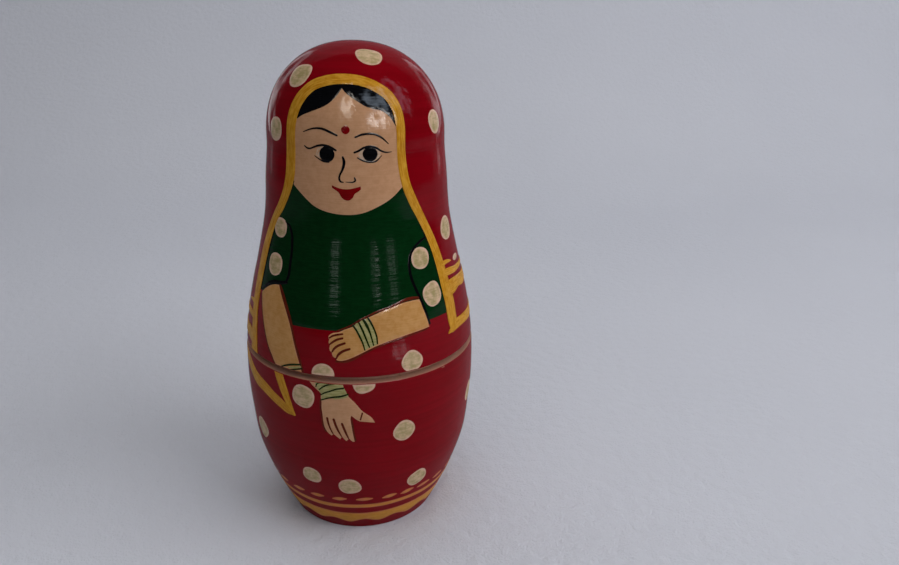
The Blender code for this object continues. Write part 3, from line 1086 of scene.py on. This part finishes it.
SLEEVE_DOTS = ((-46.1, 106.8, 3.05), (-46.9, 95.6, 3.5), (39.2, 98.6, 3.4), (43.8, 87.1, 3.85))
SKIRT_DOTS = ((-13.3, 65.9, 3.5), (27.9, 68.4, 3.5))
VEIL_DOTS = (
    (-42, 150.6, 4.0), (19.4, 156.0, 3.9), (-53.4, 135.4, 3.5), (61.6, 137.9, 3.4), (67.8, 104.5, 3.9),
    (-98, 149.0, 3.9), (-150, 153.0, 3.9), (163, 151.5, 3.9), (106, 151.0, 3.8),
    (-106, 133.5, 3.6), (-158, 137.0, 3.6), (157, 134.5, 3.6), (108, 133.0, 3.6),
    (-84, 119.5, 3.6), (-131, 120.5, 3.7), (180, 119.0, 3.7), (139, 118.5, 3.7), (99, 121.0, 3.6),
    (-103, 103.5, 3.8), (-154, 103.0, 3.8), (157, 102.5, 3.9), (111, 103.5, 3.9),
    (-88, 87.0, 3.8), (-130, 87.5, 3.9), (-176, 88.0, 3.9), (138, 88.5, 3.9),
)
SKIRT_DOTS_BELOW = (
    (-15.1, 63.4, 3.4), (-43.3, 57.5, 3.9), (3.5, 44.9, 3.7), (-43.1, 27.2, 3.4), (-23.4, 23.9, 3.7),
    (13.5, 22.8, 3.75), (-76, 37.6, 3.75), (55, 44.9, 3.7), (74, 26.0, 3.7),
    (86, 57.0, 3.8), (106, 43.0, 3.7), (95, 25.5, 3.6), (116, 24.0, 3.6), (136, 56.0, 3.8),
    (158, 42.0, 3.7), (143, 28.0, 3.6), (172, 24.5, 3.6), (-172, 56.5, 3.8), (-151, 42.5, 3.8),
    (-160, 28.0, 3.6), (-130, 24.5, 3.7), (-128, 54.5, 3.8), (-107, 42.0, 3.7), (-101, 25.0, 3.6),
)
SMALL_VEIL_DOT = dot(73.9, 94.0, 2.5, 1.0)

# The middles of the dashes in front, from the doll's right to its left; the rest follow evenly.
DASHES = (-56.5, -43.6, -30.2, -16.1, -1.9, 8.9, 20.3, 32.4)
DASH_STEP = 13.55
DASH_HEIGHT = 17.2


def hem_dashes():
    """Short yellow dabs round the hem, each a little different."""
    chance = random.Random(11)
    middles = list(DASHES)
    while middles[-1] + 1.5 * DASH_STEP < DASHES[0] + 360:
        middles.append(middles[-1] + DASH_STEP)
    dashes = []
    for middle in middles:
        half, tilt, width = chance.uniform(3.6, 4.4), chance.uniform(0.05, 0.4), chance.uniform(1.3, 1.7)
        dashes.append(
            stroke(
                (middle - half, DASH_HEIGHT - tilt, 0.6),
                (middle - half * 0.5, DASH_HEIGHT - tilt / 2, width),
                (middle + half * 0.5, DASH_HEIGHT + tilt / 2, width),
                (middle + half, DASH_HEIGHT + tilt, 0.7),
            )
        )
    return dashes


def hem_line(degrees):
    """(lower edge, upper edge) heights of the thin yellow line above the hem."""
    wander = 0.12 * np.sin(np.radians(degrees * 3 + 40)) + 0.08 * np.sin(np.radians(degrees * 11))
    return 12.4 + wander, 14.3 + 0.7 * wander


def hem_band(degrees):
    """(lower edge, upper edge) heights of the wide yellow band, whose lower edge hangs in scallops."""
    scallops = np.cos(np.radians((degrees + 27) * 17))
    wander = 0.15 * np.sin(np.radians(degrees * 5 + 20))
    return 4.3 - 0.8 * scallops + wander, 9.3 + wander


def rim_chip(degrees, half, depth):
    """A small ragged patch of bare wood that hangs from the lower half's rim."""
    top = SHOULDER_HEIGHT
    return area(
        [(degrees - half, top), (degrees - 0.5 * half, top - 0.8 * depth), (degrees, top - 0.6 * depth),
         (degrees + 0.4 * half, top - depth), (degrees + 0.8 * half, top - 0.5 * depth)],
        [(degrees + half, top)],
    )


def paint_doll(doll, rank):
    """The painting of one doll. rank counts from the outer doll, 0, and the smallest have less detail."""
    fine = rank < FINE_DOLLS

    def put(half, part, shapes, layer, material, spacing=GRID_STEP):
        paint(doll, half, part, shapes, layer, material, spacing)

    upper_dots = dots(VEIL_DOTS, 100) + dots(SKIRT_DOTS, 140) + [SMALL_VEIL_DOT]
    put("upper", "blouse", [BLOUSE], "under", GREEN, BLOUSE_STEP)
    put("upper", "upper_dots", upper_dots, "ground", CREAM)
    put("upper", "face", [FACE], "skin", SKIN, FACE_STEP)
    put("upper", "arms", [LEFT_ARM, RIGHT_ARM], "skin", ARM_SKIN, FACE_STEP)
    put("upper", "hair", [HAIR], "detail", BLACK, HAIR_STEP)
    put("upper", "sleeve_lines", SLEEVE_LINES, "detail", BLACK)
    put("upper", "sleeve_dots", dots(SLEEVE_DOTS, 160), "line", CREAM)
    put("upper", "veil_border", VEIL_BORDER, "over", YELLOW)
    put("upper", "face_lines", FACE_LINES + (FINE_FACE_LINES if fine else []), "line", BLACK)
    put("upper", "lips_and_bindi", LIPS, "detail", LIP)
    put("upper", "finger_lines", FINGER_LINES + (ARM_OUTLINES if fine else []), "detail", BROWN)
    put("upper", "bangle_lines", BANGLE_LINES, "over", BANGLE_LINE)
    if fine:
        put("upper", "eye_whites", EYE_WHITES, "skin", EYE_WHITE)
        put("upper", "bangles", [RIGHT_BANGLES] + BANGLE_GLINTS, "detail", BANGLE)

    lines_below = FINGER_LINES_BELOW + (ARM_OUTLINES_BELOW if fine else [])
    put("lower", "lower_veil_border", VEIL_BORDER_BELOW, "skin", YELLOW)
    put("lower", "hand", [HAND_BELOW], "skin", SKIN, FACE_STEP)
    put("lower", "lower_dots", dots(SKIRT_DOTS_BELOW, 200), "ground", CREAM)
    put("lower", "lower_finger_lines", lines_below, "detail", BROWN)
    put("lower", "lower_bangle_lines", BANGLE_LINES_BELOW, "over", BANGLE_LINE)
    if fine:
        put("lower", "lower_bangles", [BANGLES_BELOW] + BANGLE_GLINTS_BELOW, "detail", BANGLE)
    put("lower", "hem_dashes", hem_dashes(), "ground", HEM_YELLOW)
    if rank == 0:
        put("lower", "rim_chips", [rim_chip(*chip) for chip in RIM_CHIPS], "under", STAINED_WOOD)
    ring(doll, "hem_line", hem_line, HEM_YELLOW)
    ring(doll, "hem_band", hem_band, HEM_YELLOW)


# ---------------------------------------------------------------------------------------------
# The dolls.

DOLLS = (
    Doll("outer", True, segments=192, facing=0.0, twist=OUTER_TWIST),
    Doll("second", True, segments=160, facing=5.0),
    Doll("third", True, segments=144, facing=-4.0),
    Doll("fourth", True, segments=128, facing=3.0),
    Doll("innermost", False, segments=112, facing=-2.0),
)
# The painting's finest lines are on this many dolls, from the outer one inwards.
FINE_DOLLS = 3


def set_body(doll, half, part, runs):
    obj = revolve(f"{doll.name}_{part}", runs, doll.segments, doll.base)
    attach(obj, doll.bodies[half])
    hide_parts(doll.nodes[half])


for rank, doll in enumerate(DOLLS):
    if doll.opens:
        set_body(doll, "lower", "lower_body", lower_body(doll))
        set_body(doll, "upper", "upper_body", upper_body(doll))
    else:
        set_body(doll, "lower", "body", solid_body(doll))
    paint_doll(doll, rank)


# ---------------------------------------------------------------------------------------------
# The paper, the light and the camera. Places are in metres.

PAPER_WIDTH = 2.4
PAPER_FRONT = -0.6
PAPER_BACK = 0.75
PAPER_BEND = 0.35
PAPER_TOP = 1.6
BEND_STEPS = 16

# Each light is (name, azimuth, elevation, distance, width, height, radiance, colour). The soft lights
# are for the paint and the paper only, and the varnish doesn't mirror them.
SOFT_LIGHTS = (
    ("key", 68, 28, 1.2, 1.0, 0.9, 3.15, (1.0, 0.98, 0.99)),
    ("top", -90, 88, 1.4, 1.6, 1.6, 1.36, (1.0, 0.97, 0.94)),
    ("front", -15, 35, 1.6, 1.2, 0.9, 0.95, (1.0, 0.97, 0.94)),
)
# The panes are what the varnish mirrors: windows with leaves before them, narrow gaps below them, and
# paler stretches of wall behind the doll, which show as a sheen along its edges.
PANES = (
    ("window_high", 35, 40, 1.3, 1.15, 0.85, 11.0, (0.72, 0.84, 1.0)),
    ("window_low", 31, 17, 1.3, 0.95, 0.50, 30.0, (1.0, 0.97, 0.96)),
    ("window_left", -9, 34, 1.3, 0.50, 0.80, 26.0, (1.0, 0.93, 0.84)),
    ("window_side", 74, 38, 1.3, 0.80, 1.2, 4.0, (0.85, 0.78, 1.0)),
    ("gap_left", -22.7, 4.7, 1.3, 0.34, 0.04, 8.0, (0.9, 1.0, 0.92)),
    ("gap_middle", 19.8, 5.2, 1.3, 0.22, 0.04, 3.6, (0.9, 1.0, 0.92)),
    ("gap_right", 39.8, 4.3, 1.3, 0.34, 0.04, 5.5, (0.9, 1.0, 0.92)),
    ("low_gap", 39, -16.8, 0.365, 0.13, 0.05, 5.0, (1.0, 0.92, 0.95)),
    ("sheen_right", 148, 0, 0.78, 0.9, 1.0, 2.2, (1.0, 0.96, 1.0)),
    ("sheen_left", -148, 0, 0.78, 0.9, 1.0, 2.2, (0.96, 0.96, 1.0)),
)
LIT_HEIGHT = 0.12
# How a pane fades: it keeps less of the leaves' noise away from its middle, and levels between these
# two go from dark to bright.
FADE = -0.55
DARK_LEVEL, BRIGHT_LEVEL = 0.26, 0.46
PANE_PEAK = 1.3

# How bright the room beyond the paper is, in W/m2/sr: as seen, as mirrored, and as it lights the doll.
ROOM_SEEN = 0.42
ROOM_MIRRORED = 0.10
ROOM_LIGHT = 0.03
ROOM_COLOUR = (0.80, 0.86, 1.0, 1.0)

CAMERA_AZIMUTH = 4.5
CAMERA_DISTANCE = 0.221
CAMERA_HEIGHT = 0.1646
CAMERA_YAW = 7.98
CAMERA_PITCH = 20.66
CAMERA_ROLL = 1.48
CAMERA_LENS = 27.23
SENSOR_WIDTH = 36.0


def paper_sweep():
    """A floor that curves up into a backdrop behind the doll."""
    profile = [(PAPER_FRONT, 0.0), (PAPER_BACK - PAPER_BEND, 0.0)]
    for i in range(1, BEND_STEPS + 1):
        angle = math.pi / 2 * i / BEND_STEPS
        y = PAPER_BACK - PAPER_BEND + PAPER_BEND * math.sin(angle)
        profile.append((y, PAPER_BEND - PAPER_BEND * math.cos(angle)))
    profile.append((PAPER_BACK, PAPER_TOP))
    verts = [(x, y, z) for y, z in profile for x in (-PAPER_WIDTH / 2, PAPER_WIDTH / 2)]
    faces = [(2 * i, 2 * i + 1, 2 * i + 3, 2 * i + 2) for i in range(len(profile) - 1)]
    add_mesh("paper", verts, faces, [PAPER])


def direction(azimuth, elevation):
    """Unit vector away from the doll: azimuth 0 is in front of it (-Y), 90 is to its left (+X)."""
    a, e = math.radians(azimuth), math.radians(elevation)
    return Vector((math.sin(a) * math.cos(e), -math.cos(a) * math.cos(e), math.sin(e)))


def soft_light(name, azimuth, elevation, distance, width, height, radiance, colour):
    """A rectangular light that faces the doll's head from a direction. radiance is in W/m2/sr."""
    light = bpy.data.lights.new(name, "AREA")
    light.shape = "RECTANGLE"
    light.size, light.size_y = width, height
    light.energy = radiance * math.pi * width * height
    light.color = colour
    obj = bpy.data.objects.new(name, light)
    obj.visible_camera = False
    away = direction(azimuth, elevation)
    obj.location = Vector((0, 0, LIT_HEIGHT)) + away * distance
    obj.rotation_euler = away.to_track_quat("Z", "Y").to_euler()
    bpy.context.scene.collection.objects.link(obj)
    return obj


def dapple(light):
    """Breaks up a light's face, as leaves before a window do, and fades it out towards its edge."""
    graph = Graph(light, "Emission")
    place = graph.add("NewGeometry", {}, outlet="Parametric")
    leaves = graph.noise(place, 5.0, detail=4.0, roughness=0.5)
    reach = graph.add("VectorMath", {0: place, 1: (0.5, 0.5, 0.0)}, outlet="Value", operation="DISTANCE")
    level = graph.math("MULTIPLY_ADD", reach, FADE, leaves)
    brightness = graph.add("MapRange", {0: level, 1: DARK_LEVEL, 2: BRIGHT_LEVEL, 3: 0.0, 4: PANE_PEAK})
    graph.plug(graph.shader, {"Strength": brightness})


def pale_room():
    """A plain pale surrounding, which is kept dim in the varnish and in the light that it gives."""
    graph = Graph(bpy.data.worlds.new("room"), "Background")
    strength = ROOM_LIGHT
    for kind, level in (("Is Glossy Ray", ROOM_MIRRORED), ("Is Camera Ray", ROOM_SEEN)):
        ray = graph.add("LightPath", {}, outlet=kind)
        strength = graph.math("MULTIPLY_ADD", ray, level - ROOM_LIGHT, strength)
    graph.plug(graph.shader, {"Color": ROOM_COLOUR, "Strength": strength})
    return graph.owner


def light_scene():
    for light in SOFT_LIGHTS:
        soft_light(*light).visible_glossy = False
    for pane in PANES:
        obj = soft_light(*pane)
        obj.visible_diffuse = False
        dapple(obj.data)
    bpy.context.scene.world = pale_room()
    bpy.context.scene.view_settings.view_transform = "Standard"


def add_camera():
    """The camera stands close to the doll, looks down on it and a little past its right side."""
    heading = CAMERA_YAW - CAMERA_AZIMUTH
    roll = math.radians(CAMERA_ROLL)
    forward = direction(180 - heading, -CAMERA_PITCH)
    level = direction(90 - heading, 0)
    upright = level.cross(forward)
    right = level * math.cos(roll) + upright * math.sin(roll)
    up = upright * math.cos(roll) - level * math.sin(roll)
    camera = bpy.data.cameras.new("camera")
    camera.lens = CAMERA_LENS
    camera.sensor_width = SENSOR_WIDTH
    camera.clip_start = 0.01
    obj = bpy.data.objects.new("camera", camera)
    spot = direction(CAMERA_AZIMUTH, 0) * CAMERA_DISTANCE + Vector((0, 0, CAMERA_HEIGHT))
    axes = Matrix((right, up, -forward)).transposed().to_4x4()
    obj.matrix_world = Matrix.Translation(spot) @ axes
    bpy.context.scene.collection.objects.link(obj)
    bpy.context.scene.camera = obj


paper_sweep()
light_scene()
add_camera()
